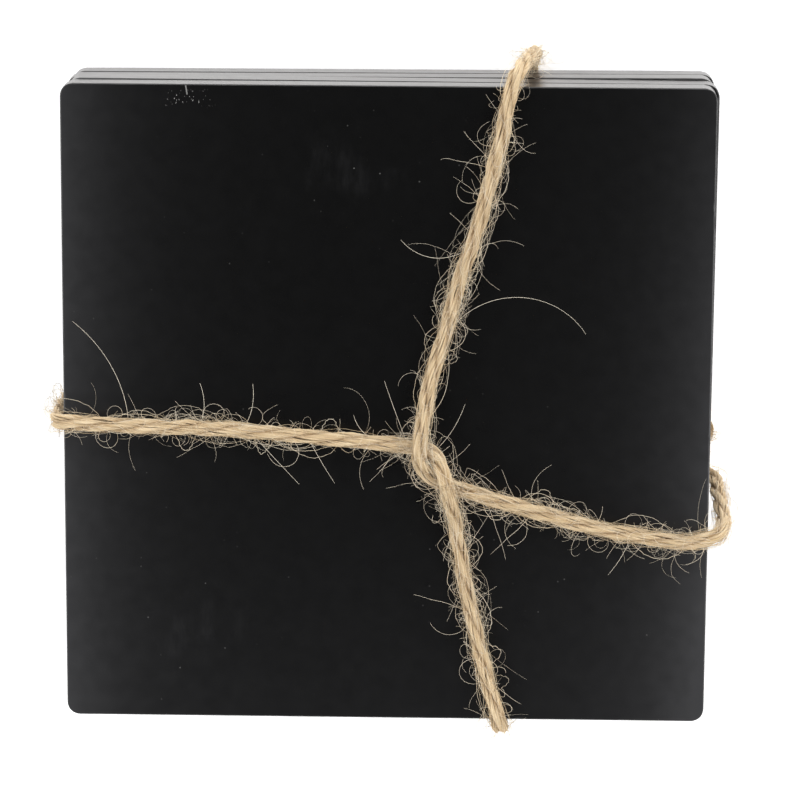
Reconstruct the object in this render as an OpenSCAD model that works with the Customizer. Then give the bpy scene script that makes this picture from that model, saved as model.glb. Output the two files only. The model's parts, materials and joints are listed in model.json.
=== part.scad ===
// Four square black coasters in a loose stack, tied with one length of jute twine.
// The stack lies flat: +Z is up, the faces of the coasters are level or nearly so.
// The origin is under the middle of the whole part, on the surface it lies on.

/* [Coasters] */
// Side of each square coaster
coaster_side = 100; // [95:1:105]
// Thickness of each coaster
coaster_t = 4.5; // [4.3:0.1:4.7]
// Radius of the rounded corners, seen from above
corner_r = 2; // [1:0.5:4]
// Shortest gap between two coasters, at the left
left_gap = 0.2; // [0.15:0.05:0.3]

/* [Twine] */
// Diameter of the twine where nothing presses on it
twine_d = 2.4; // [2.2:0.1:2.6]

/* [Knot] */
// Widest size of the knot, seen from above
knot_d = 8; // [7.5:0.25:8.5]

/* [Hidden] */
$fn = 64;

// Share of its thickness that the twine keeps where it is pressed flat
pressed_share = 0.7;

// The middle of the coasters, seen from the origin: the slack loop and the top wrap
// stand out further than the wraps across from them.
stack_at = [-0.8, -1.0, 0];

// Room under the lowest coaster, which two crossed and flattened strands fill
under_gap = 2 * twine_d * pressed_share;

// Each coaster, the top one first: its shift along X, its turn about Z in degrees, and how
// much wider the gap under it is at its right edge than at its left
loose = [
    [0.0, 0.0, 1.0],
    [0.5, -0.2, 0.1],
    [0.3, 0.15, 0.4],
    [0.6, 0.05, 0.0]
];
coasters = len(loose);

// Underside of coaster k at its left edge, and how far it climbs to its right edge
function left_z(k) = under_gap + (coasters - 1 - k) * (coaster_t + left_gap);
function climb(k) = k == coasters ? 0 : loose[k][2] + climb(k + 1);

// Top face of the stack at x
function top_z(x) = left_z(0) + coaster_t + climb(0) * (x / coaster_side + 0.5);

// Height of a strand's middle above the face, on it or over another strand
on_face = twine_d / 2 + 0.2;
low = 1.2;
high = 3.5;

// The side of the coasters and the room under them that the route below is written for
route_side = 100;
route_gap = 3.36;

// Height of round twine that lies on the floor, in a route written for that room
floor_z = route_gap / (4 * pressed_share);

// The twine's route as one line, from the knot round to the knot again, in its stretches.
// A point is [x, y, z, press]: press is 0 for round twine and 1 for twine pressed flat.
right_loop = [
    [48.5, -11.5, 1.6, 0.3], [49.0, -13.8, 1.3, 0], [50.6, -14.8, 1.5, 0], [52.1, -15.3, 3.8, 0],
    [52.3, -15.8, 8.5, 0], [52.4, -16.5, 14.0, 0], [52.4, -17.4, 18.6, 0], [52.4, -18.4, 22.7, 0]
];
front_right = [
    [51.3, -19.5, top_z(50) + 1.5, 0], [48.5, -20.3, top_z(48) + 1.5, 0],
    [38.0, -19.5, top_z(38) + on_face, 0], [30.0, -17.9, top_z(30) + on_face, 0],
    [22.0, -15.6, top_z(22) + on_face, 0], [14.0, -13.3, top_z(14) + on_face, 0]
];
front_top = [
    [11.4, -12.5, top_z(11) + low, 0.5], [8.8, -11.6, top_z(9) + low, 0.5],
    [6.8, -10.5, top_z(7) + 1.7, 0.5], [5.3, -8.4, top_z(5) + 2.6, 0.5],
    [5.0, -6.1, top_z(5) + high, 0.5], [5.4, -3.2, top_z(5) + 3.1, 0.3],
    [6.0, 1.0, top_z(6) + 2.1, 0], [6.8, 5.0, top_z(7) + on_face, 0],
    [8.9, 12.2, top_z(9) + on_face, 0], [11.0, 20.2, top_z(11) + on_face, 0],
    [13.6, 28.1, top_z(14) + on_face, 0], [15.6, 36.0, top_z(16) + on_face, 0],
    [17.4, 43.5, top_z(17) + on_face, 0], [18.5, 49.4, top_z(18) + 1.5, 0]
];
top_wrap = [
    [19.3, 51.8, top_z(19) + 1.0, 0], [20.2, 53.0, top_z(20) - 1.5, 0], [21.2, 53.2, 17, 0],
    [22.0, 53.1, 12, 0], [22.5, 53.0, 7, 0], [22.6, 52.6, 3.6, 0]
];
under_along = [
    [22.5, 51.4, 1.7, 0], [22.2, 48.8, floor_z, 0], [21.8, 40.0, 1.5, 0], [21.3, 25.0, 2.0, 0.2],
    [20.7, 6.0, 2.3, 0.6], [20.3, -5.5, 2.52, 1], [19.9, -17.0, 2.3, 0.6], [19.4, -32.0, 1.8, 0.2],
    [18.7, -48.6, floor_z, 0]
];
bottom_wrap = [
    [18.5, -50.8, 1.8, 0.5], [18.3, -51.4, 4.0, 0.6], [18.1, -51.4, 10, 0.6],
    [18.0, -51.4, 16, 0.6], [18.0, -51.4, 21.2, 0.6]
];
front_bottom = [
    [18.0, -51.0, top_z(18) + 0.9, 0.6], [17.6, -49.2, top_z(18) + 1.5, 0.3],
    [16.0, -43.4, top_z(16) + on_face, 0], [14.0, -35.2, top_z(14) + on_face, 0],
    [12.4, -28.0, top_z(12) + on_face, 0], [11.2, -21.0, top_z(11) + on_face, 0],
    [10.4, -16.6, top_z(10) + 1.9, 0], [9.8, -14.0, top_z(10) + 2.9, 0.3]
];
front_left = [
    [9.1, -11.3, top_z(9) + high, 0.5], [8.5, -8.8, top_z(8) + 2.8, 0.5],
    [7.2, -6.9, top_z(7) + 1.8, 0.5], [5.0, -6.0, top_z(5) + low, 0.5],
    [2.6, -5.7, top_z(3) + low, 0.5], [-1.0, -5.3, top_z(-1) + on_face, 0],
    [-12.4, -4.4, top_z(-12) + on_face, 0], [-24.2, -3.4, top_z(-24) + on_face, 0],
    [-36.1, -3.1, top_z(-36) + on_face, 0], [-48.2, -2.6, top_z(-48) + on_face, 0.2]
];
left_wrap = [
    [-50.8, -2.5, top_z(-50) + 1.0, 0.6], [-51.3, -2.5, 20.6, 0.6], [-51.3, -2.6, 15, 0.6],
    [-51.3, -2.9, 9, 0.6], [-51.2, -3.1, 4.0, 0.6]
];
under_across = [
    [-50.6, -3.3, 1.9, 0.4], [-48.6, -3.4, floor_z, 0], [-30.0, -3.9, floor_z, 0],
    [-10.0, -4.6, floor_z, 0], [8.0, -5.1, 1.1, 0.5], [20.3, -5.5, 0.84, 1],
    [31.0, -6.2, 1.1, 0.5], [40.0, -7.2, 1.3, 0], [45.0, -7.8, 1.6, 0.3]
];

// The knot and the two tails that leave it, lying under the lowest coaster
knot_at = [48, -8, route_gap / 2];
tail_long = [
    [46.6, -4.9, 1.6, 0.3], [45.6, -1.0, 1.3, 0], [44.0, 4.0, floor_z, 0], [41.0, 9.0, floor_z, 0],
    [37.0, 13.0, floor_z, 0], [33.0, 18.0, floor_z, 0]
];
tail_short = [
    [45.4, -10.2, 1.6, 0.3], [42.0, -12.4, 1.3, 0], [38.0, -14.0, floor_z, 0],
    [34.0, -17.5, floor_z, 0], [32.0, -22.0, floor_z, 0]
];

stretches = [
    right_loop, front_right, front_top, top_wrap, under_along,
    bottom_wrap, front_bottom, front_left, left_wrap, under_across
];
route = [for (stretch = stretches) each stretch];
function start_of(k) = k == 0 ? 0 : start_of(k - 1) + len(stretches[k - 1]);

// The stack's inner block: the twine's flat side always faces away from it
core_half = 45;
core_low = 8;
core_high = 18;

ring_sides = 8;

// A route point as built: spread to the side of the coasters, and the strands under them
// raised or lowered with the room there
function place(point) = [
    point.x * coaster_side / route_side,
    point.y * coaster_side / route_side,
    point.z * (point.z < route_gap ? under_gap / route_gap : 1)
];
function unit(v) = v / norm(v);
function within(v, low_end, high_end) = min(max(v, low_end), high_end);
function tangent(path, i) =
    unit(place(path[min(i + 1, len(path) - 1)]) - place(path[max(i - 1, 0)]));
function from_core(p) = p - [
    within(p.x, -core_half, core_half),
    within(p.y, -core_half, core_half),
    within(p.z, core_low, core_high)
];

// One ring of the twine: an ellipse across the route, thinner along the way out of the stack
function ring(path, i) =
    let (
        p = place(path[i]),
        press = path[i][3],
        along = tangent(path, i),
        away = from_core(p),
        out = unit(away - (away * along) * along),
        side = cross(along, out),
        half_t = twine_d / 2 * (1 - (1 - pressed_share) * press),
        half_w = twine_d / 2 * (1 + (1 - pressed_share) * press / 2)
    )
    [
        for (n = [0 : ring_sides - 1])
            let (a = 360 * n / ring_sides)
            p + half_w * cos(a) * side + half_t * sin(a) * out
    ];

// A closed tube through the points first to last of a path
module sweep(path, first, last) {
    rings = last - first + 1;
    points = [for (i = [first : last]) each ring(path, i)];
    walls = [
        for (i = [0 : rings - 2], n = [0 : ring_sides - 1])
            let (
                a = i * ring_sides + n,
                b = i * ring_sides + (n + 1) % ring_sides,
                c = a + ring_sides,
                d = b + ring_sides
            )
            each [[a, c, b], [b, c, d]]
    ];
    start_cap = [[for (n = [0 : ring_sides - 1]) n]];
    end_cap = [[for (n = [ring_sides - 1 : -1 : 0]) (rings - 1) * ring_sides + n]];
    polyhedron(points = points, faces = concat(walls, start_cap, end_cap));
}

module jute() {
    color([0.78, 0.67, 0.50]) translate(stack_at) children();
}

// Stretch k of the route, up to where the next one starts
module stretch(k) {
    last = k == len(stretches) - 1 ? len(route) - 1 : start_of(k + 1);
    jute() sweep(route, start_of(k), last);
}

module tail(path) {
    jute() sweep(path, 0, len(path) - 1);
}

// One coaster lying flat, its underside at z = 0
module coaster_blank() {
    inner = coaster_side / 2 - corner_r;
    linear_extrude(coaster_t) {
        square([coaster_side, 2 * inner], center = true);
        square([2 * inner, coaster_side], center = true);
        for (x = [-inner, inner], y = [-inner, inner])
            translate([x, y]) circle(r = corner_r);
    }
}

// Coaster k in its place, leaning up a little towards its right edge
module coaster(k) {
    lean = atan(climb(k) / coaster_side);
    color([0.09, 0.09, 0.10])
        translate(stack_at + [loose[k][0], 0, left_z(k) + climb(k) / 2])
            rotate([0, -lean, loose[k][1]]) coaster_blank();
}

module twine_knot() {
    rim = under_gap / 2;
    jute() translate(place(knot_at)) {
        rotate_extrude() translate([knot_d / 2 - rim, 0]) circle(r = rim);
        cylinder(h = under_gap, r = knot_d / 2 - rim, center = true);
    }
}

coaster(0);  // coaster_1
coaster(1);  // coaster_2
coaster(2);  // coaster_3
coaster(3);  // coaster_4
stretch(0);  // twine_right_loop
stretch(1);  // twine_front_right
stretch(2);  // twine_front_top
stretch(3);  // twine_top_wrap
stretch(4);  // twine_under_along
stretch(5);  // twine_bottom_wrap
stretch(6);  // twine_front_bottom
stretch(7);  // twine_front_left
stretch(8);  // twine_left_wrap
stretch(9);  // twine_under_across
twine_knot();
tail(tail_long);  // twine_tail_long
tail(tail_short);  // twine_tail_short
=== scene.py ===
"""A stack of four square black coasters, tied crosswise with one length of jute twine.

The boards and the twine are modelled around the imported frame, in metres, and lie flat on a
pale table under soft studio light. The top coaster's face looks up, along +Z.
"""
import json
import math

import bpy
import numpy as np
from mathutils import Matrix, Vector

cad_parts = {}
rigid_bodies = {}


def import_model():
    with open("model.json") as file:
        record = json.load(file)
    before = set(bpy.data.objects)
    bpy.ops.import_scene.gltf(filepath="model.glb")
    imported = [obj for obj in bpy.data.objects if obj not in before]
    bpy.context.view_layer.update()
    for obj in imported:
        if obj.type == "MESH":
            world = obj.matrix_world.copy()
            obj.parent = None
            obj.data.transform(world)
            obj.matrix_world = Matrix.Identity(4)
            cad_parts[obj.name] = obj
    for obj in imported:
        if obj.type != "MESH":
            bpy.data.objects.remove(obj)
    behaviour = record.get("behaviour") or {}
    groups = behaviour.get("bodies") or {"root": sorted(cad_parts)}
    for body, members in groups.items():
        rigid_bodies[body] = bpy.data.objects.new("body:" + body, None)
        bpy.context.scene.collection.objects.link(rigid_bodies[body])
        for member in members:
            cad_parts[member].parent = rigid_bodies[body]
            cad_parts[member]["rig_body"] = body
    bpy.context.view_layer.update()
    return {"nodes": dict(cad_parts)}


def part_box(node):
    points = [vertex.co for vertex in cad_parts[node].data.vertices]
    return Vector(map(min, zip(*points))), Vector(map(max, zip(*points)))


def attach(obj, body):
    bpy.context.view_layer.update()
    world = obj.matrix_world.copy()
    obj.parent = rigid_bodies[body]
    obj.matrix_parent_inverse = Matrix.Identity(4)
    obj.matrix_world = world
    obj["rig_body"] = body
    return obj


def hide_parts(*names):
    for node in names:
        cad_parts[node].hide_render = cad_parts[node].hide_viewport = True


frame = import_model()

# The boards: their size, the width of their worn edges, and how far each is turned, in degrees
SIDE, THICK, CORNER = 0.100, 0.0045, 0.002
ARRIS = 0.00022
SPINS = (0.0, -0.2, 0.15, 0.05)

# Where the middle of the stack lies, the room under it, and the walls that strands and fibres stay
# outside of: they stand about where the sides of the loose boards come to as they slide
STACK = np.array((-0.0008, -0.0010, 0.0))
UNDERSIDE = 0.00336
LEFT_WALL, RIGHT_WALL, END_WALL = -0.0500, 0.05085, 0.0501

# How high the top coaster's face is at its left edge, and how far it climbs to its right edge
LID_AT_LEFT, LID_CLIMB = 0.02196, 0.0015

# The twine: its diameter, the share of its thickness that it keeps where it is pressed, its plies
# and the strands in each, the length of a turn of each, and the distance between its rings
TWINE = 0.0024
PRESSED = 0.7
PLIES, STRANDS = 3, 12
PLY_PITCH, STRAND_PITCH = 0.0187, -0.0165
SAMPLE = 0.0004

# The inner block of the stack, which the flat side of the twine always faces away from
CORE_LOW = np.array((-0.045, -0.045, 0.008))
CORE_HIGH = np.array((0.045, 0.045, 0.018))

random = np.random.default_rng(20)


def face_z(x):
    """Height of the top coaster's face at x."""
    return LID_AT_LEFT + LID_CLIMB * (x / SIDE + 0.5)


# Heights of the middle of the twine: on the face, pressed on it, over another strand, on the table
ON_FACE, LOW, HIGH, ON_FLOOR = 0.0014, 0.0012, 0.0035, 0.0012

# The twine's route round the stack, in its stretches, from the knot round to the knot again.
# A point is x, y, z and press: 0 for round twine, 1 for twine pressed flat.
RIGHT_LOOP = [
    (0.0485, -0.0115, 0.0016, 0.3), (0.049, -0.0138, 0.0013, 0), (0.0506, -0.0148, 0.0015, 0),
    (0.0521, -0.0153, 0.0038, 0), (0.0523, -0.0158, 0.0085, 0), (0.0524, -0.0165, 0.014, 0),
    (0.0524, -0.0174, 0.0186, 0), (0.0524, -0.0184, 0.0227, 0),
]
FRONT_RIGHT = [
    (0.0513, -0.0195, face_z(0.05) + 0.0015, 0), (0.0485, -0.0203, face_z(0.048) + 0.0015, 0),
    (0.038, -0.0195, face_z(0.038) + ON_FACE, 0), (0.03, -0.0179, face_z(0.03) + ON_FACE, 0),
    (0.022, -0.0156, face_z(0.022) + ON_FACE, 0), (0.014, -0.0133, face_z(0.014) + ON_FACE, 0),
]
FRONT_TOP = [
    (0.0114, -0.0125, face_z(0.011) + LOW, 0.5), (0.0088, -0.0116, face_z(0.009) + LOW, 0.5),
    (0.0068, -0.0105, face_z(0.007) + 0.0017, 0.5), (0.0053, -0.0084, face_z(0.005) + 0.0026, 0.5),
    (0.005, -0.0061, face_z(0.005) + HIGH, 0.5), (0.0054, -0.0032, face_z(0.005) + 0.0031, 0.3),
    (0.006, 0.001, face_z(0.006) + 0.0021, 0), (0.0068, 0.005, face_z(0.007) + ON_FACE, 0),
    (0.0089, 0.0122, face_z(0.009) + ON_FACE, 0), (0.011, 0.0202, face_z(0.011) + ON_FACE, 0),
    (0.0136, 0.0281, face_z(0.014) + ON_FACE, 0), (0.0156, 0.036, face_z(0.016) + ON_FACE, 0),
    (0.0174, 0.0435, face_z(0.017) + ON_FACE, 0), (0.0185, 0.0494, face_z(0.018) + 0.0015, 0),
]
TOP_WRAP = [
    (0.0193, 0.0518, face_z(0.019) + 0.001, 0), (0.0202, 0.053, face_z(0.02) - 0.0015, 0),
    (0.0212, 0.0532, 0.017, 0), (0.022, 0.0531, 0.012, 0), (0.0225, 0.053, 0.007, 0),
    (0.0226, 0.0526, 0.0036, 0),
]
UNDER_ALONG = [
    (0.0225, 0.0514, 0.0017, 0), (0.0222, 0.0488, ON_FLOOR, 0), (0.0218, 0.04, 0.0015, 0),
    (0.0213, 0.025, 0.002, 0.2), (0.0207, 0.006, 0.0023, 0.6), (0.0203, -0.0055, 0.00252, 1),
    (0.0199, -0.017, 0.0023, 0.6), (0.0194, -0.032, 0.0018, 0.2), (0.0187, -0.0486, ON_FLOOR, 0),
]
BOTTOM_WRAP = [
    (0.0185, -0.0508, 0.0018, 0.5), (0.0183, -0.0514, 0.004, 0.6), (0.0181, -0.0514, 0.01, 0.6),
    (0.018, -0.0514, 0.016, 0.6), (0.018, -0.0514, 0.0212, 0.6),
]
FRONT_BOTTOM = [
    (0.018, -0.051, face_z(0.018) + 0.0009, 0.6), (0.0176, -0.0492, face_z(0.018) + 0.0015, 0.3),
    (0.016, -0.0434, face_z(0.016) + ON_FACE, 0), (0.014, -0.0352, face_z(0.014) + ON_FACE, 0),
    (0.0124, -0.028, face_z(0.012) + ON_FACE, 0), (0.0112, -0.021, face_z(0.011) + ON_FACE, 0),
    (0.0104, -0.0166, face_z(0.01) + 0.0019, 0), (0.0098, -0.014, face_z(0.01) + 0.0029, 0.3),
]
FRONT_LEFT = [
    (0.0091, -0.0113, face_z(0.009) + HIGH, 0.5), (0.0085, -0.0088, face_z(0.008) + 0.0028, 0.5),
    (0.0072, -0.0069, face_z(0.007) + 0.0018, 0.5), (0.005, -0.006, face_z(0.005) + LOW, 0.5),
    (0.0026, -0.0057, face_z(0.003) + LOW, 0.5), (-0.001, -0.0053, face_z(-0.001) + ON_FACE, 0),
    (-0.0124, -0.0044, face_z(-0.012) + ON_FACE, 0), (-0.0242, -0.0034, face_z(-0.024) + ON_FACE, 0),
    (-0.0361, -0.0031, face_z(-0.036) + ON_FACE, 0), (-0.0482, -0.0026, face_z(-0.048) + ON_FACE, 0.2),
]
LEFT_WRAP = [
    (-0.0508, -0.0025, face_z(-0.05) + 0.001, 0.6), (-0.0513, -0.0025, 0.0206, 0.6),
    (-0.0513, -0.0026, 0.015, 0.6), (-0.0513, -0.0029, 0.009, 0.6), (-0.0512, -0.0031, 0.004, 0.6),
]
UNDER_ACROSS = [
    (-0.0506, -0.0033, 0.0019, 0.4), (-0.0486, -0.0034, ON_FLOOR, 0), (-0.03, -0.0039, ON_FLOOR, 0),
    (-0.01, -0.0046, ON_FLOOR, 0), (0.008, -0.0051, 0.0011, 0.5), (0.0203, -0.0055, 0.00084, 1),
    (0.031, -0.0062, 0.0011, 0.5), (0.04, -0.0072, 0.0013, 0), (0.045, -0.0078, 0.0016, 0.3),
]
TAIL_LONG = [
    (0.0466, -0.0049, 0.0016, 0.3), (0.0456, -0.001, 0.0013, 0), (0.044, 0.004, ON_FLOOR, 0),
    (0.041, 0.009, ON_FLOOR, 0), (0.037, 0.013, ON_FLOOR, 0), (0.033, 0.018, ON_FLOOR, 0),
]
TAIL_SHORT = [
    (0.0454, -0.0102, 0.0016, 0.3), (0.042, -0.0124, 0.0013, 0), (0.038, -0.014, ON_FLOOR, 0),
    (0.034, -0.0175, ON_FLOOR, 0), (0.032, -0.022, ON_FLOOR, 0),
]
KNOT_AT = (0.048, -0.008, 0.00168)
KNOT_RADIUS = 0.0031

# Long stray fibres that spring from the strands on the face: the root, the way each sets out
# in degrees from +X, its length, and how far it turns over that length, in degrees
STRAYS = (
    (-0.040, -0.002, 95, 0.018, 50), (0.010, 0.013, 50, 0.024, -110), (-0.021, -0.004, -45, 0.011, -5),
    (-0.012, -0.005, -60, 0.008, 0), (0.008, -0.006, 50, 0.008, 20), (0.038, -0.020, -115, 0.007, -10),
    (0.003, -0.005, 110, 0.010, 0), (-0.022, -0.003, 60, 0.007, 40), (-0.029, -0.003, 65, 0.007, 50),
    (0.012, 0.025, -150, 0.011, -80), (-0.001, -0.005, 165, 0.006, -60),
)
STRAY_RINGS = 24

# Hairier places on the face: x, y, reach and how much hairier
TUFTS = (
    (0.0095, 0.0200, 0.009, 2.6), (0.0040, -0.0090, 0.006, 2.2), (0.0200, -0.0150, 0.010, 1.4),
    (0.0115, -0.0270, 0.010, 1.6), (0.0440, -0.0200, 0.009, 2.0), (-0.0300, -0.0030, 0.012, 1.2),
    (0.0170, 0.0420, 0.006, 1.6),
)


# ---------------------------------------------------------------- camera, table and light

# The camera: where it stands, what it looks at, its roll in degrees and its lens and film in mm
EYE, TARGET = Vector((0.0042, 0.1289, 0.6085)), Vector((0.0012, 0.0002, 0.0227))
ROLL, LENS, FILM = 0.349, 174.8, 36.0

# How brightly the table glows and how bright the room is, and each softbox: name, place, size, power
TABLE_GLOW = 0.50
ROOM_LIGHT = 0.07
SOFTBOXES = (
    ("softbox_left", (-0.75, 0.05, 0.50), (0.6, 0.6), 5.4),
    ("softbox_right", (0.75, 0.00, 0.50), (0.6, 0.6), 5.4),
    ("softbox_far", (0.10, 0.85, 0.45), (0.9, 0.5), 7.0),
    ("softbox_near", (0.00, -0.85, 0.40), (0.9, 0.4), 5.0),
)


def add_camera():
    """The view down onto the face, from a little beyond its far edge."""
    roll = math.radians(ROLL)
    forward = (TARGET - EYE).normalized()
    level = forward.cross(Vector((0, 1, 0))).normalized()
    upright = level.cross(forward)
    right = math.cos(roll) * level + math.sin(roll) * upright
    up = math.cos(roll) * upright - math.sin(roll) * level
    data = bpy.data.cameras.new("camera")
    data.lens, data.sensor_width = LENS, FILM
    camera = bpy.data.objects.new("camera", data)
    camera.matrix_world = Matrix((right, up, -forward)).transposed().to_4x4()
    camera.matrix_world.translation = EYE
    bpy.context.collection.objects.link(camera)
    bpy.context.scene.camera = camera


def add_lamp(name, at, size, power):
    """A softbox at a place, turned to the stack."""
    data = bpy.data.lights.new(name, "AREA")
    data.shape = "RECTANGLE"
    data.size, data.size_y = size
    data.energy = power
    lamp = bpy.data.objects.new(name, data)
    lamp.location = at
    lamp.rotation_euler = (-Vector(at)).to_track_quat("-Z", "Y").to_euler()
    lamp.visible_camera = False
    bpy.context.collection.objects.link(lamp)


def add_studio():
    """A pale table, four softboxes round it and an even, dim room."""
    bpy.ops.mesh.primitive_plane_add(size=12.0, location=(0, 0, 0))
    table = bpy.context.object
    table.name = "table"
    finish = Finish("table_white", roughness=0.9)
    grain = finish.node("ShaderNodeTexNoise", {"Vector": finish.object_place(), "Scale": 60.0})
    finish.set("Base Color", finish.mix(grain, (0.90, 0.90, 0.90), (0.93, 0.93, 0.93)))
    finish.set("Emission Color", (1.0, 1.0, 1.0, 1.0))
    finish.set("Emission Strength", TABLE_GLOW)
    finish.give(table)
    for name, at, size, power in SOFTBOXES:
        add_lamp(name, at, size, power)
    world = bpy.data.worlds.new("room")
    bpy.context.scene.world = world
    world.use_nodes = True
    world.node_tree.nodes["Background"].inputs["Color"].default_value = (1, 1, 1, 1)
    world.node_tree.nodes["Background"].inputs["Strength"].default_value = ROOM_LIGHT
    bpy.context.scene.view_settings.view_transform = "Standard"


# ---------------------------------------------------------------- shader sums

class Value:
    """A number or colour that flows through a material: Python's operators add Math nodes."""

    def __init__(self, finish, socket):
        self.finish, self.socket = finish, socket

    def math(self, operation, first, second=None, clamp=False):
        values = {0: first} if second is None else {0: first, 1: second}
        return self.finish.node("ShaderNodeMath", values, operation=operation, use_clamp=clamp)

    def __add__(self, other):
        return self.math("ADD", self, other)

    def __sub__(self, other):
        return self.math("SUBTRACT", self, other)

    def __rsub__(self, other):
        return self.math("SUBTRACT", other, self)

    def __mul__(self, other):
        return self.math("MULTIPLY", self, other)

    __radd__, __rmul__ = __add__, __mul__

    def __pow__(self, other):
        return self.math("POWER", self, other)

    def above(self, low, high):
        """0 below low, 1 above high, and a smooth step between them."""
        spans = {"Value": self, "From Min": low, "From Max": high}
        return self.finish.node("ShaderNodeMapRange", spans, interpolation_type="SMOOTHSTEP")

    def size(self):
        return self.math("ABSOLUTE", self)

    def capped(self):
        return self.math("ADD", self, 0.0, clamp=True)

    def output(self, number):
        """Another output of the node that this value comes from."""
        return Value(self.finish, self.socket.node.outputs[number])


class Finish:
    """One material: its nodes are added by node(), and set() puts them on the shader."""

    def __init__(self, name, roughness):
        self.material = bpy.data.materials.new(name)
        self.material.use_nodes = True
        self.nodes = self.material.node_tree.nodes
        self.shader = self.nodes["Principled BSDF"]
        self.set("Roughness", roughness)

    def plug(self, socket, value):
        if isinstance(value, Value):
            self.material.node_tree.links.new(value.socket, socket)
        elif socket.type == "RGBA" and len(value) == 3:
            socket.default_value = (*value, 1.0)
        else:
            socket.default_value = value

    def set(self, name, value):
        self.plug(self.shader.inputs[name], value)

    def node(self, kind, values=None, out=0, **settings):
        """Adds a node: its settings first, then the numbers or links of its sockets."""
        made = self.nodes.new(kind)
        for name, setting in settings.items():
            setattr(made, name, setting)
        for name, value in (values or {}).items():
            self.plug(made.inputs[name], value)
        return Value(self, made.outputs[out])

    def mix(self, factor, first, second):
        """first where factor is 0 and second where it is 1."""
        values = {0: factor, 6: first, 7: second}
        return self.node("ShaderNodeMix", values, out=2, data_type="RGBA")

    def object_place(self):
        return self.node("ShaderNodeTexCoord", out=3)

    def noise(self, place, scale, detail=2.0, stretch=(1, 1, 1), shift=(0, 0, 0), rough=0.5):
        """Noise from 0 to 1, finer along an axis with a larger stretch."""
        where = self.node("ShaderNodeMapping", {"Vector": place, "Scale": stretch, "Location": shift})
        values = {"Vector": where, "Scale": scale, "Detail": detail, "Roughness": rough}
        return self.node("ShaderNodeTexNoise", values)

    def bump(self, height, distance, strength=1.0, under=None):
        values = {"Height": height, "Distance": distance, "Strength": strength}
        if under is not None:
            values["Normal"] = under
        return self.node("ShaderNodeBump", values)

    def give(self, piece):
        piece.data.materials.clear()
        piece.data.materials.append(self.material)


# ---------------------------------------------------------------- finishes

# How far the painted reflection reaches in from the left and right edges, and how pale the smudges are
REFLECTION_REACH, SMUDGE = 0.045, 0.30

# Colours: the stone's face, where painted reflection and smudges pale it, its grain, its sawn sides with
# their painted reflection tint, and the dust, then the jute
STONE_DARK, STONE_REFLECTION_AND_SMUDGE, STONE_GRAIN = (0.0019, 0.0019, 0.0020), (0.036, 0.036, 0.038), (0.04, 0.04, 0.042)
STONE_SIDE_PAINTED_TINT, STONE_DUST = (0.044, 0.037, 0.034), (0.62, 0.61, 0.59)
JUTE_DEEP, JUTE_PALE = (0.57, 0.38, 0.18), (0.97, 0.80, 0.54)
JUTE_BROWN, JUTE_SHADE = (0.46, 0.27, 0.12), (0.34, 0.20, 0.09)
JUTE_HAIR_PAINTED_LIGHT = (0.95, 0.86, 0.70)

# The middle of the patch of scratches, and of the nick beside it, from the middle of the board
SCRATCHES_AT, NICK_AT = (-0.0305, 0.0478), (-0.030715, 0.0491)


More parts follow.
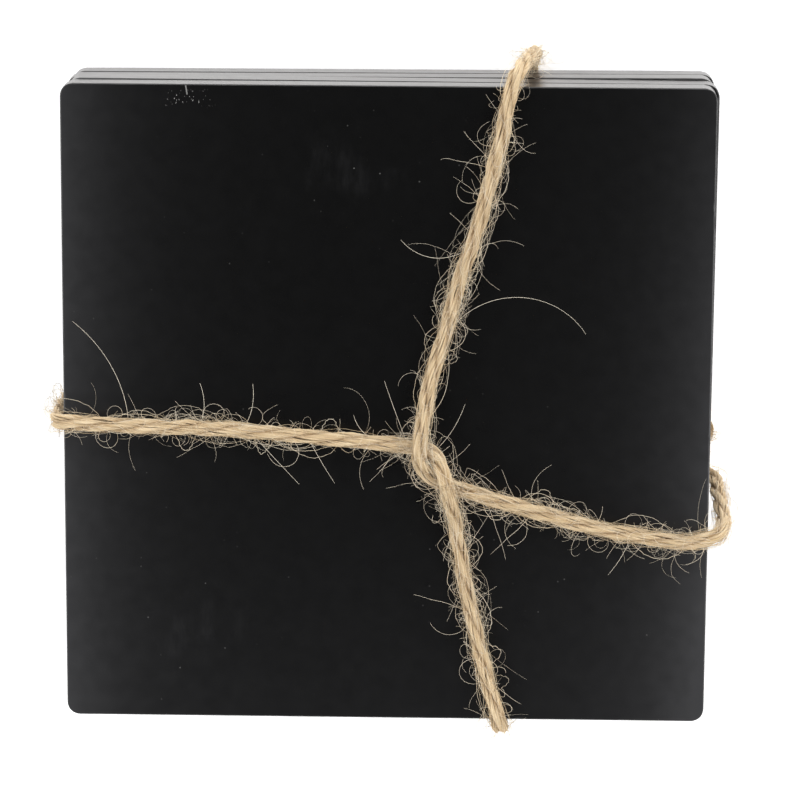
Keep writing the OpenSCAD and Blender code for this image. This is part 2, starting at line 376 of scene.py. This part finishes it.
def black_stone(name, middle, seed):
    """Honed black stone: satin, finely grained and dusty, with a painted reflection that pales it towards
    its edges.
    """
    finish = Finish(name, roughness=0.42)
    place = finish.object_place()
    parts = finish.node("ShaderNodeSeparateXYZ", {"Vector": place})
    x, y = parts.output(0) - middle.x, parts.output(1) - middle.y
    half = SIDE / 2
    shift = (seed, 2.0 * seed, 3.0 * seed)

    grain = finish.noise(place, 5200.0, 2.0, shift=shift)
    mottle = finish.noise(place, 420.0, 4.0, shift=shift)
    cloud = finish.noise(place, 46.0, 5.0, shift=shift, rough=0.6)
    streak = finish.noise(place, 90.0, 5.0, stretch=(3.0, 0.7, 1.0), shift=shift, rough=0.65)

    # Painted reflection: the face is painted paler towards the left, the right and the near edge,
    # and most at the two near corners
    left = (x * (-1 / REFLECTION_REACH) + (1 - half / REFLECTION_REACH)).capped()
    right = (x * (1 / REFLECTION_REACH) + (1 - half / REFLECTION_REACH)).capped()
    near = (y * (-1 / (2 * half)) + 0.5).capped()
    painted_reflection = (0.66 * left**7.0 + 0.14 * left**2.0) * (0.84 + 0.16 * near)
    painted_reflection = painted_reflection + (0.60 * right**7.0 + 0.15 * right**2.0) * (0.40 + 1.10 * near)
    painted_reflection = (painted_reflection + 0.16 * near**2.8) * (0.80 + 0.4 * mottle)

    # Chalky smudges, in a few clouded patches
    smudge = cloud.above(0.56, 0.78) * streak.above(0.42, 0.72) * (0.4 + 0.6 * mottle)

    # Dust: sparse round specks of two sizes
    specks = dust(finish, place, 420.0, 0.028, 0.028, shift) * mottle.above(0.36, 0.60) * 0.7
    specks = specks + dust(finish, place, 1000.0, 0.08, 0.10, shift) * cloud.above(0.46, 0.70) * 0.16
    scratches = fine_scratches(finish, place, x, y)

    # The sawn sides are sealed and glossier than the honed faces; their paler, warmer colour is a painted
    # reflection tint
    facing = finish.node("ShaderNodeSeparateXYZ", {"Vector": finish.node("ShaderNodeTexCoord", out=1)})
    side = 1.0 - facing.output(2).size().above(0.05, 0.6)

    # pale holds both the painted reflection and the real chalky smudges
    pale = (painted_reflection + smudge * SMUDGE).capped()
    colour = finish.mix(pale, STONE_DARK, STONE_REFLECTION_AND_SMUDGE)
    colour = finish.mix((grain.above(0.62, 0.78) * 0.05).capped(), colour, STONE_GRAIN)
    # The sides' paler, warmer colour is a painted reflection tint
    colour = finish.mix(side, colour, STONE_SIDE_PAINTED_TINT)
    colour = finish.mix((specks + scratches).capped(), colour, STONE_DUST)
    finish.set("Base Color", colour)
    finish.set("Roughness", (0.24 + 0.08 * mottle + 0.12 * pale + 0.25 * specks + 0.02 * side).capped())
    finish.set("IOR", 1.45)
    finish.set("Coat Weight", side * 0.2)
    finish.set("Coat IOR", 1.7)
    finish.set("Coat Roughness", 0.15)
    hone = finish.bump(grain, 0.00002, 0.35)
    finish.set("Normal", finish.bump(mottle, 0.00006, 0.25, under=hone))
    return finish


def dust(finish, place, scale, radius, share, shift):
    """Specks of that radius, in cells, in that share of the cells."""
    where = finish.node("ShaderNodeMapping", {"Vector": place, "Location": shift})
    values = {"Vector": where, "Scale": scale}
    cells = finish.node("ShaderNodeTexVoronoi", values, feature="F1")
    near = 1.0 - cells.above(radius, 2.0 * radius)
    pick = finish.node("ShaderNodeSeparateColor", {"Color": cells.output(1)})
    return near * pick.above(1.0 - share, 1.0 - 0.6 * share)


def fine_scratches(finish, place, x, y):
    """A small patch of short pale scratches by the far edge, and a nick beside it."""
    patch = 1.0 - (x - SCRATCHES_AT[0]).size().above(0.002, 0.0045)
    patch = patch * (1.0 - (y - SCRATCHES_AT[1]).size().above(0.0004, 0.0016))
    lines = finish.noise(place, 2300.0, 1.0, stretch=(1.4, 0.9, 1.0))
    lean = 0.15 * (y - NICK_AT[1])
    nick = 1.0 - (x - NICK_AT[0] + lean).size().above(0.00006, 0.00013)
    nick = nick * (1.0 - (y - NICK_AT[1]).size().above(0.0006, 0.0008))
    return patch * lines.above(0.66, 0.72) * 0.45 + nick * 0.35


def jute(name):
    """Dry jute: golden strands with pale and brown streaks along them, and painted shade darkening them
    in the grooves.
    """
    finish = Finish(name, roughness=0.85)
    along = finish.node("ShaderNodeTexCoord", out=2)
    tint = finish.node("ShaderNodeAttribute", out=2, attribute_name="tint")
    depth = finish.node("ShaderNodeAttribute", out=2, attribute_name="depth")
    loose = finish.node("ShaderNodeAttribute", out=2, attribute_name="loose")
    fibre = finish.noise(along, 12.0, 4.0, stretch=(1.0, 9.0, 1.0), rough=0.75)
    fleck = finish.noise(along, 3.2, 3.0, stretch=(0.7, 6.0, 1.0), shift=(7, 3, 0))
    light = (tint * 0.60 + fibre * 1.0 - 0.26).capped()
    colour = finish.mix(light, JUTE_DEEP, JUTE_PALE)
    colour = finish.mix(fleck.above(0.58, 0.76) * 0.55, colour, JUTE_BROWN)
    # Painted shade: strands are darkened where they lie deep in the twine's grooves
    colour = finish.mix((1.0 - depth.above(0.55, 0.92)) * 0.6, colour, JUTE_SHADE)
    # Loose fibres turn paler the farther they stand off the twine: partly their own paler colour, partly
    # painted light shining through the thin fibres
    finish.set("Base Color", finish.mix(loose, colour, JUTE_HAIR_PAINTED_LIGHT))
    finish.set("Roughness", (0.72 + 0.2 * fibre).capped())
    finish.set("Specular IOR Level", 0.35)
    finish.set("Sheen Weight", 0.25)
    finish.set("Sheen Roughness", 0.5)
    finish.set("Normal", finish.bump(fibre, 0.00008, 0.8))
    return finish


# ---------------------------------------------------------------- coasters

# Steps round each corner and over the worn edge, and cuts along each straight edge
CORNER_STEPS, ARRIS_STEPS, EDGE_CUTS = 8, 3, 72

# How far the worn edge wanders, how deep its nicks are, and the share of its points with a nick
WANDER, NICK_DEPTH, NICK_SHARE = 0.00004, 0.00022, 0.03


def edit(select):
    """Edit mode on the active piece, with only the edges that select(mesh) picks selected."""
    bpy.ops.object.mode_set(mode="EDIT")
    bpy.ops.mesh.select_mode(type="EDGE")
    bpy.ops.mesh.select_all(action="DESELECT")
    bpy.ops.object.mode_set(mode="OBJECT")
    for edge in select(bpy.context.object.data):
        edge.select = True
    bpy.ops.object.mode_set(mode="EDIT")


def upright_edges(mesh):
    """The edges that run from the underside to the face."""
    at = [v.co for v in mesh.vertices]
    return [e for e in mesh.edges if abs(at[e.vertices[0]].z - at[e.vertices[1]].z) > THICK / 2]


def rim_edges(mesh):
    """The edges round the face and round the underside."""
    upright = set(e.index for e in upright_edges(mesh))
    return [e for e in mesh.edges if e.index not in upright]


def long_edges(mesh):
    """The straight edges round the face and round the underside."""
    at = [v.co for v in mesh.vertices]
    return [e for e in rim_edges(mesh) if (at[e.vertices[0]] - at[e.vertices[1]]).length > SIDE / 2]


def wear_arris(mesh, seed):
    """Hand-honed edges: the fine bevel wanders a little, with a nick here and there."""
    dice = np.random.default_rng(seed)
    half = SIDE / 2
    for v in mesh.vertices:
        reach = max(abs(v.co.x), abs(v.co.y))
        on_arris = reach > half - ARRIS * 1.5 and abs(v.co.z) > THICK / 2 - ARRIS * 1.5
        if on_arris and reach < half - ARRIS * 0.05:
            wander = WANDER * dice.random()
            wander += NICK_DEPTH * dice.random() if dice.random() < NICK_SHARE else 0
            v.co.x -= math.copysign(wander, v.co.x) if abs(v.co.x) == reach else 0
            v.co.y -= math.copysign(wander, v.co.y) if abs(v.co.y) == reach else 0
            v.co.z -= math.copysign(0.4 * wander, v.co.z)


def model_coaster(k):
    """Coaster k, the top one first, in the place of its CAD node."""
    node = f"coaster_{k + 1}"
    low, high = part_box(node)
    middle = (low + high) / 2
    climb = (high.z - low.z) - THICK
    bpy.ops.object.select_all(action="DESELECT")
    bpy.ops.mesh.primitive_cube_add(size=1.0, scale=(SIDE, SIDE, THICK))
    piece = bpy.context.object
    piece.name = f"board_{k + 1}"
    bpy.ops.object.transform_apply(location=False, rotation=False, scale=True)
    edit(upright_edges)
    bpy.ops.mesh.bevel(offset=CORNER, segments=CORNER_STEPS, affect="EDGES")
    edit(long_edges)
    bpy.ops.mesh.subdivide(number_cuts=EDGE_CUTS)
    edit(rim_edges)
    bpy.ops.mesh.bevel(offset=ARRIS, segments=ARRIS_STEPS, affect="EDGES")
    bpy.ops.object.mode_set(mode="OBJECT")
    wear_arris(piece.data, 40 + k)
    bpy.ops.object.shade_smooth()
    smooth = piece.modifiers.new("even_faces", "WEIGHTED_NORMAL")
    smooth.weight = 90
    bpy.ops.object.modifier_apply(modifier="even_faces")
    lean = Matrix.Rotation(-math.atan(climb / SIDE), 4, "Y")
    spin = Matrix.Rotation(math.radians(SPINS[k]), 4, "Z")
    piece.data.transform(Matrix.Translation(middle) @ lean @ spin)
    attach(piece, frame["nodes"][node]["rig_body"])
    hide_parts(node)
    black_stone(f"black_stone_{k + 1}", middle, 1.7 * k).give(piece)


# ---------------------------------------------------------------- twine

# How far strands and the middle lines of fibres stay off the boards
STRAND_GAP, FIBRE_GAP = 0.00002, 0.00006

# The rings along each loose fibre, and the length of the longest, other than the long stray ones
FIBRE_RINGS = 15
FIBRE_LONGEST = 0.0105


def unit(v):
    return v / np.maximum(np.linalg.norm(v, axis=-1, keepdims=True), 1e-12)


def dot(a, b):
    return np.sum(a * b, axis=-1, keepdims=True)


def smooth_curve(points):
    """Evenly spaced samples of a smooth curve through points, and where each point falls on it."""
    p = np.array(points, float)
    gaps = np.linalg.norm(np.diff(p[:, :3], axis=0), axis=1)
    reach = np.concatenate(([0.0], np.cumsum(gaps)))
    slope = np.gradient(p, reach, axis=0)
    even = np.linspace(0.0, reach[-1], round(reach[-1] / SAMPLE) + 1)
    k = np.clip(np.searchsorted(reach, even, side="right") - 1, 0, len(gaps) - 1)
    u, h = ((even - reach[k]) / gaps[k])[:, None], gaps[k][:, None]
    curve = (
        (2 * u**3 - 3 * u**2 + 1) * p[k] + (u**3 - 2 * u**2 + u) * h * slope[k]
        + (3 * u**2 - 2 * u**3) * p[k + 1] + (u**3 - u**2) * h * slope[k + 1]
    )
    return curve, np.rint(reach / reach[-1] * (len(even) - 1)).astype(int)


class Line:
    """A length of twine: its middle line, and across it the ways out of the stack and sideways."""

    def __init__(self, points):
        curve, self.marks = smooth_curve(points)
        self.at = curve[:, :3]
        steps = np.linalg.norm(np.diff(self.at, axis=0), axis=1)
        self.reach = np.concatenate(([0.0], np.cumsum(steps)))
        along = unit(np.gradient(self.at, axis=0))
        away = self.at - np.clip(self.at, CORE_LOW, CORE_HIGH)
        self.along = along
        self.out = unit(away - dot(away, along) * along)
        self.side = np.cross(along, self.out)
        press = np.clip(curve[:, 3:4], 0, 1)
        swell = 1 + 0.05 * waves(self.reach, (0.031, 0.017, 0.009), 1)[0][:, None]
        self.half_out = TWINE / 2 * (1 - (1 - PRESSED) * press)
        self.half_side = TWINE / 2 * (1 + (1 - PRESSED) * press / 2) * swell

    def across(self, angle, share, where=slice(None)):
        """The point at that angle round the twine, at that share of the way to its surface."""
        angle, share = np.asarray(angle)[..., None], np.asarray(share)[..., None]
        sideways = share * np.cos(angle) * self.half_side[where] * self.side[where]
        outwards = share * np.sin(angle) * self.half_out[where] * self.out[where]
        return self.at[where] + sideways + outwards


def waves(reach, lengths, rows):
    """Smooth random waves between about -1 and 1 along reach, one row for each strand."""
    total = np.zeros((rows, len(reach)))
    for length in lengths:
        start = random.uniform(0, 2 * math.pi, (rows, 1))
        stretch = random.uniform(0.8, 1.25, (rows, 1))
        total += np.sin(2 * math.pi * reach[None, :] / (length * stretch) + start)
    return total / math.sqrt(2.0 * len(lengths))


def depths_in_stack(p, gap):
    """How deep points are inside each side of the stack, grown by gap."""
    x, y, z = p[..., 0], p[..., 1], p[..., 2]
    return np.stack((
        RIGHT_WALL + gap - x, x - LEFT_WALL + gap, END_WALL + gap - y, y + END_WALL + gap,
        face_z(x) + gap - z, z - UNDERSIDE + gap,
    ))


def misses_stack(paths):
    """Which fibres stay out of the stack between their points too."""
    between = [paths[:, :-1] * (1 - t) + paths[:, 1:] * t for t in (0.2, 0.4, 0.6, 0.8)]
    depths = depths_in_stack(np.concatenate(between, axis=1), 0.0)
    return (depths.min(axis=0) < 0).all(axis=1)


# The least height over the table of the strands' surfaces and of the fibres' middle lines
TABLE_GAP = 0.00003


def keep_clear(p, gap):
    """Moves points that are in the stack, or nearer to it than gap, out through its nearest side."""
    depths = depths_in_stack(p, gap)
    inside = depths.min(axis=0) > 0
    nearest = depths.argmin(axis=0)
    moves = ((1, 0, 0), (-1, 0, 0), (0, 1, 0), (0, -1, 0), (0, 0, 1), (0, 0, -1))
    for n, move in enumerate(moves):
        push = np.where(inside & (nearest == n), depths[n], 0.0)
        p = p + push[..., None] * np.array(move)
    p[..., 2] = np.maximum(p[..., 2], TABLE_GAP)
    return p


def tube_mesh(name, rings, u, tint, depth, loose):
    """Closed tubes: rings has a row for each tube, each with its rings, each with its points."""
    tubes, count, sides, _ = rings.shape
    index = np.arange(tubes * count * sides).reshape(tubes, count, sides)
    turned = np.roll(index, -1, axis=2)
    walls = np.stack((index[:, :-1], index[:, 1:], turned[:, 1:], turned[:, :-1]), axis=-1)
    faces = walls.reshape(-1, 4).tolist() + index[:, 0].tolist() + index[:, -1, ::-1].tolist()
    mesh = bpy.data.meshes.new(name)
    mesh.from_pydata((rings + STACK).reshape(-1, 3).tolist(), [], faces)
    mesh.polygons.foreach_set("use_smooth", [True] * len(mesh.polygons))
    around = np.arange(sides) / sides
    uv = np.stack(np.broadcast_arrays(
        u[:, :, None], around[None, None, :] + np.arange(tubes)[:, None, None]), axis=-1)
    corner = np.zeros(len(mesh.loops), int)
    mesh.loops.foreach_get("vertex_index", corner)
    layer = mesh.uv_layers.new(name="along")
    layer.data.foreach_set("uv", uv.reshape(-1, 2)[corner].astype(np.float32).ravel())
    for label, value in (("tint", tint), ("depth", depth), ("loose", loose)):
        spread = np.broadcast_to(value, (tubes, count, sides)).astype(np.float32)
        mesh.attributes.new(label, "FLOAT", "POINT").data.foreach_set("value", spread.ravel())
    piece = bpy.data.objects.new(name, mesh)
    bpy.context.collection.objects.link(piece)
    return piece


def strand_rings(line, where, sides=6):
    """The strands of all plies over a part of the line, with their tints and depths."""
    reach, count = line.reach[where], PLIES * STRANDS
    ply = np.repeat(np.arange(PLIES), STRANDS)[:, None]
    own = np.tile(np.arange(STRANDS), PLIES)[:, None]
    ply_angle = 2 * math.pi * (ply / PLIES + reach[None, :] / PLY_PITCH)
    own_angle = 2 * math.pi * (own / STRANDS + reach[None, :] / STRAND_PITCH) + line.stray[0][:, where]
    centre_share, ring_share = 0.45, 0.40 + 0.05 * line.stray[1][:, where]
    x = centre_share * np.cos(ply_angle) + ring_share * np.cos(own_angle)
    y = centre_share * np.sin(ply_angle) + ring_share * np.sin(own_angle)
    thick = 0.135 * (1 + 0.25 * line.stray[2][:, where])
    turn = 2 * math.pi * np.arange(sides) / sides
    ring_x = x[:, :, None] + thick[:, :, None] * np.cos(turn)
    ring_y = y[:, :, None] + thick[:, :, None] * np.sin(turn)
    points = (
        line.at[where][None, :, None, :]
        + (ring_x * line.half_side[where][None, :, :])[..., None] * line.side[where][None, :, None, :]
        + (ring_y * line.half_out[where][None, :, :])[..., None] * line.out[where][None, :, None, :]
    )
    tint = 0.5 + 0.28 * line.stray[3][:, where] + line.shade[:, None]
    depth = np.sqrt(ring_x**2 + ring_y**2)
    return keep_clear(points, STRAND_GAP), tint[:, :, None], depth


def lay_strands(line):
    """Settles how each strand of the line strays, before it is cut into stretches."""
    count = PLIES * STRANDS
    line.stray = (
        0.34 * waves(line.reach, (0.019, 0.011), count), waves(line.reach, (0.014, 0.006), count),
        waves(line.reach, (0.009, 0.004), count), waves(line.reach, (0.022, 0.008, 0.004), count),
    )
    line.shade = random.uniform(-0.22, 0.22, count)


def thread_rings(paths, thick):
    """Three-sided rings along fibres: paths is fibre, ring, place; thick is fibre, ring."""
    along = unit(np.gradient(paths, axis=1))
    lean = np.abs(along).mean(axis=1)
    helper = np.eye(3)[lean.argmin(axis=1)][:, None, :]
    up = unit(helper - dot(helper, along) * along)
    across = np.cross(along, up)
    turn = 2 * math.pi * np.arange(3) / 3
    return (
        paths[:, :, None, :]
        + thick[:, :, None, None] * np.cos(turn)[:, None] * across[:, :, None, :]
        + thick[:, :, None, None] * np.sin(turn)[:, None] * up[:, :, None, :]
    )


def tuftiness(at):
    """How hairy the twine is at each place, 1 where it is plain."""
    hairy = np.ones(len(at))
    for x, y, reach, gain in TUFTS:
        off = np.hypot(at[:, 0] - x, at[:, 1] - y) / reach
        hairy += gain * np.exp(-(off**2)) * (at[:, 2] > LID_AT_LEFT)
    return hairy


def free_fibres(line, where, per_metre, longest):
    """Fibres that spring from the twine at one end and curl away from it."""
    start, stop = where.start, where.stop
    count = round((line.reach[stop - 1] - line.reach[start]) * per_metre)
    hairy = tuftiness(line.at[start : stop - 1])
    root = start + random.choice(len(hairy), count, p=hairy / hairy.sum())
    angle = random.uniform(0, 2 * math.pi, count)
    at = line.across(angle, 0.8, root)
    radial = unit(at - line.at[root])
    forward = line.along[root] * random.choice((-1.0, 1.0), (count, 1))
    outward = radial * random.uniform(0.15, 0.9, (count, 1))
    onward = forward * random.uniform(0.3, 1.5, (count, 1))
    heading = unit(outward + onward + 0.30 * random.normal(size=(count, 3)))
    length = longest * (0.18 + 0.82 * random.random(count) ** 2.4)
    step = (length / (FIBRE_RINGS - 1))[:, None]
    axis = unit(random.normal(size=(count, 3)))
    axis = unit(axis - dot(axis, heading) * heading)
    bend = random.normal(0, 300.0, (count, 1)) + random.choice((0.0, 1000.0), (count, 1), p=(0.45, 0.55))
    curl = np.clip(bend * step, -0.75, 0.75)
    places = [keep_clear(at, FIBRE_GAP)]
    for _ in range(FIBRE_RINGS - 1):
        heading = unit(heading + curl * np.cross(axis, heading) + 0.045 * random.normal(size=(count, 3)))
        places.append(keep_clear(places[-1] + step * heading, FIBRE_GAP))
    taper = np.linspace(1.0, 0.6, FIBRE_RINGS)[None, :]
    thick = random.uniform(0.000015, 0.000034, (count, 1)) * taper
    # How pale each ring is painted: partly the fibre's own colour, partly painted light through thin
    # fibres
    loose = np.clip(step * np.arange(FIBRE_RINGS) / 0.0030, 0.0, 0.85)
    paths = np.stack(places, axis=1)
    kept = misses_stack(paths)
    return paths[kept], thick[kept], loose[kept]


def lifted_fibres(line, where, per_metre):
    """Fibres that lie along the twine and lift off it in low arches."""
    start, stop = where.start, where.stop
    count = round((line.reach[stop - 1] - line.reach[start]) * per_metre)
    span = random.integers(6, 30, count)
    root = random.integers(start, stop - 1, count)
    share = np.linspace(0, 1, FIBRE_RINGS)[None, :]
    where_to = np.clip(root[:, None] + (span[:, None] * share), start, stop - 1).astype(int)
    drift = random.normal(0, 0.55, (count, 1))
    angle = random.uniform(0, 2 * math.pi, (count, 1)) + drift * share
    lift = 0.93 + random.uniform(0.0, 1.22, (count, 1)) ** 4.0 * 4 * share * (1 - share)
    lift = lift + 0.03 * random.normal(size=lift.shape)
    thick = random.uniform(0.000020, 0.000038, (count, 1)) * np.ones((1, FIBRE_RINGS))
    paths = keep_clear(line.across(angle, lift, where_to), FIBRE_GAP)
    kept = misses_stack(paths)
    return paths[kept], thick[kept], 0.7 * np.clip(lift[kept] - 1.1, 0, 1)


def add_piece(piece, nodes=()):
    """The piece rides with the tied stack, and stands for the nodes given."""
    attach(piece, "tied_base")
    if nodes:
        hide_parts(*nodes)
    JUTE.give(piece)


def twine_piece(name, line, where, nodes):
    """One stretch of the twine itself."""
    rings, tint, depth = strand_rings(line, where)
    u = np.broadcast_to(line.reach[where][None, :] * 1000.0 / 3.0, rings.shape[:2])
    add_piece(tube_mesh(name, rings, u, tint, depth, 0.0), nodes)


def fuzz_piece(name, groups):
    """The loose fibres of a stretch, in one piece."""
    paths = np.concatenate([g[0] for g in groups])
    thick = np.concatenate([g[1] for g in groups])
    u = np.broadcast_to(np.linspace(0, 1, paths.shape[1])[None, :], paths.shape[:2])
    tint = random.uniform(0.25, 1.0, (len(paths), 1, 1))
    loose = np.concatenate([g[2] for g in groups])[:, :, None]
    add_piece(tube_mesh(name, thread_rings(paths, thick), u, tint, 1.0, loose))


def stray_fibres():
    """The long stray fibres, each an even bend that stands a little off the face."""
    share = np.linspace(0, 1, STRAY_RINGS)
    paths = []
    for x, y, way, length, turn in STRAYS:
        heading = np.radians(way + turn * share)
        step = length / (STRAY_RINGS - 1)
        along_x = x + step * np.concatenate(([0.0], np.cumsum(np.cos(heading[:-1]))))
        along_y = y + step * np.concatenate(([0.0], np.cumsum(np.sin(heading[:-1]))))
        height = face_z(along_x) + 0.0010 + 0.0008 * np.sin(math.pi * share)
        paths.append(np.stack((along_x, along_y, height), axis=1))
    thick = np.full((len(paths), STRAY_RINGS), 0.000038) * np.linspace(1.1, 0.7, STRAY_RINGS)
    return np.array(paths), thick, np.ones((len(paths), STRAY_RINGS))


# ---------------------------------------------------------------- the whole

def make_twine():
    """The twine all the way round the stack, cut where the CAD stretches are."""
    stretches = (RIGHT_LOOP, FRONT_RIGHT, FRONT_TOP, TOP_WRAP, UNDER_ALONG, BOTTOM_WRAP,
                 FRONT_BOTTOM, FRONT_LEFT, LEFT_WRAP, UNDER_ACROSS)
    line = Line([point for stretch in stretches for point in stretch])
    lay_strands(line)
    starts = np.cumsum([0] + [len(stretch) for stretch in stretches])

    def cut(first, last):
        end = line.marks[starts[last + 1]] + 1 if last + 1 < len(stretches) else len(line.at)
        return slice(line.marks[starts[first]], end)

    # Each stretch: its name, that of its fibres, its part of the line, its nodes, and fibres per metre
    groups = (
        ("jute_right", "right", cut(0, 1), ("twine_right_loop", "twine_front_right"), 7000),
        ("jute_upper", "upper", cut(2, 3), ("twine_front_top", "twine_top_wrap"), 7000),
        ("jute_under_along", "under_along", cut(4, 4), ("twine_under_along",), 2000),
        ("jute_lower", "lower", cut(5, 6), ("twine_bottom_wrap", "twine_front_bottom"), 7000),
        ("jute_left", "left", cut(7, 8), ("twine_front_left", "twine_left_wrap"), 6000),
        ("jute_under_across", "under_across", cut(9, 9), ("twine_under_across",), 2000),
    )
    for name, side, where, nodes, hair in groups:
        twine_piece(name, line, where, nodes)
        fuzz = [free_fibres(line, where, hair, FIBRE_LONGEST), lifted_fibres(line, where, hair * 0.6)]
        fuzz_piece(f"fibres_{side}", fuzz)
    fuzz_piece("fibres_stray", [stray_fibres()])


def make_knot():
    """The flat overhand knot under the stack, and the two tails that leave it."""
    turn = np.linspace(0, 2 * math.pi, 43)
    radius = KNOT_RADIUS * (0.62 + 0.38 * np.cos(3 * turn))
    rise = 0.00084 * np.sin(3 * turn)
    loop = [
        (KNOT_AT[0] + r * math.cos(2 * a), KNOT_AT[1] + r * math.sin(2 * a), KNOT_AT[2] + z, 1.0)
        for a, r, z in zip(turn, radius, rise)
    ]
    for name, side, points, node in (
        ("jute_knot", "knot", loop, "twine_knot"),
        ("jute_tail_long", "tail_long", TAIL_LONG, "twine_tail_long"),
        ("jute_tail_short", "tail_short", TAIL_SHORT, "twine_tail_short"),
    ):
        line = Line(points)
        lay_strands(line)
        where = slice(0, len(line.at))
        twine_piece(name, line, where, (node,))
        tip = slice(max(0, len(line.at) - 6), len(line.at))
        fuzz = [free_fibres(line, where, 3000, 0.005), lifted_fibres(line, where, 3000)]
        fuzz_piece(f"fibres_{side}", fuzz + [free_fibres(line, tip, 30000, 0.004)])


add_camera()
add_studio()
JUTE = jute("natural_jute")
make_twine()
make_knot()
for k in range(len(SPINS)):
    model_coaster(k)
